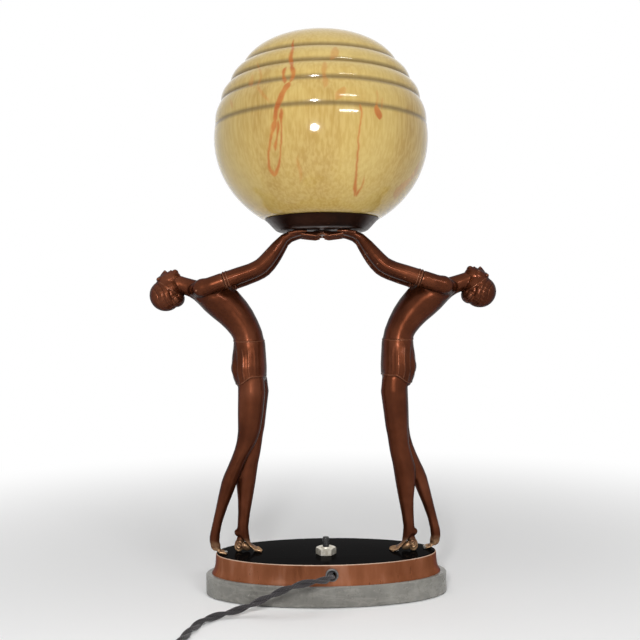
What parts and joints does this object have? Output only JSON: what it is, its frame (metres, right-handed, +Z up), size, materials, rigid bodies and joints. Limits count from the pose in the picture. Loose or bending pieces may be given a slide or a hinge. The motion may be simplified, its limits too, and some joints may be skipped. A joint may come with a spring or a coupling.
{
  "type": "figural table lamp",
  "caption": "Two arched bronze figures on an oval stone base hold up a stepped marbled glass globe in a shallow dish.",
  "frame": {"origin": "under the middle of the oval base, on the surface that the lamp stands on", "axes": "+Z up through the globe's axis; X along the oval base; the cord leaves the base on the -Y side"},
  "size_m": [0.3358, 0.3825, 0.528],
  "materials": {
    "felt": "dark green felt, matt",
    "marble": "mottled grey stone with pale clouds, polished",
    "base_metal": "spelter casting: satin copper band, glossy black deck",
    "figure_bronze": "dark reddish brown patina, glossy, copper highlights",
    "gallery_bronze": "dark bronze patina, satin",
    "globe_glass": "butterscotch and cream marbled opaque glass, very glossy",
    "brass": "turned brass, satin",
    "steel": "zinc plated steel",
    "nickel": "pale nickel plate, slightly worn",
    "ceramic": "white porcelain",
    "bakelite": "dark brown moulded phenolic",
    "plunger_black": "black moulded plastic, glossy",
    "bulb_metal": "bare aluminium screw cap",
    "bulb_glass": "frosted glass",
    "lead_sleeve": "woven sleeve",
    "grommet_black": "black rubber",
    "cord_fabric": "twisted dark brown rayon braid",
    "tie_fabric": "black woven tape"
  },
  "bodies": {
    "root": {"felt_pad": "felt", "marble_plinth": "marble", "plinth_bolts": "steel", "plinth_washers": "steel", "base_casting": "base_metal", "left_figure": "figure_bronze", "right_figure": "figure_bronze", "left_figure_near_arm": "figure_bronze", "left_figure_far_arm": "figure_bronze", "right_figure_near_arm": "figure_bronze", "right_figure_far_arm": "figure_bronze", "foot_studs": "steel", "foot_nuts": "steel", "gallery_screws": "steel", "gallery_dish": "gallery_bronze", "nipple": "brass", "nipple_locknut": "brass", "holder_cap": "brass", "holder_shell": "brass", "holder_insulator": "ceramic", "holder_ring": "bakelite", "switch_bush": "nickel", "switch_nut": "nickel", "switch_body": "bakelite", "switch_spring": "steel", "cord_clamp": "bakelite", "terminal_block": "ceramic", "terminal_screws": "brass", "base_leads": "lead_sleeve", "holder_lead": "lead_sleeve", "cord_grommet": "grommet_black", "cord_inner_run": "cord_fabric", "cord_free_run": "cord_fabric", "cord_coil": "cord_fabric", "cord_tail": "cord_fabric", "plug_body": "bakelite", "plug_pins": "nickel", "coil_tie": "tie_fabric"},
    "globe": {"globe_shade": "globe_glass"},
    "bulb": {"bulb_cap": "bulb_metal", "bulb_glass": "bulb_glass"},
    "plunger": {"switch_plunger": "plunger_black"}
  },
  "joints": [
    {"name": "globe_lift", "type": "slide", "parent": "root", "child": "globe", "axis": [0, 0, 1], "range_m": [0, 0.15]},
    {"name": "bulb_screw_out", "type": "slide", "parent": "root", "child": "bulb", "axis": [0, 0, 1], "range_m": [0, 0.026]},
    {"name": "switch_press", "type": "slide", "parent": "root", "child": "plunger", "axis": [0, 0, -1], "range_m": [0, 0.003], "stiffness_N_per_m": 400, "springref_m": -0.002, "deforming": ["switch_spring"]}
  ]
}
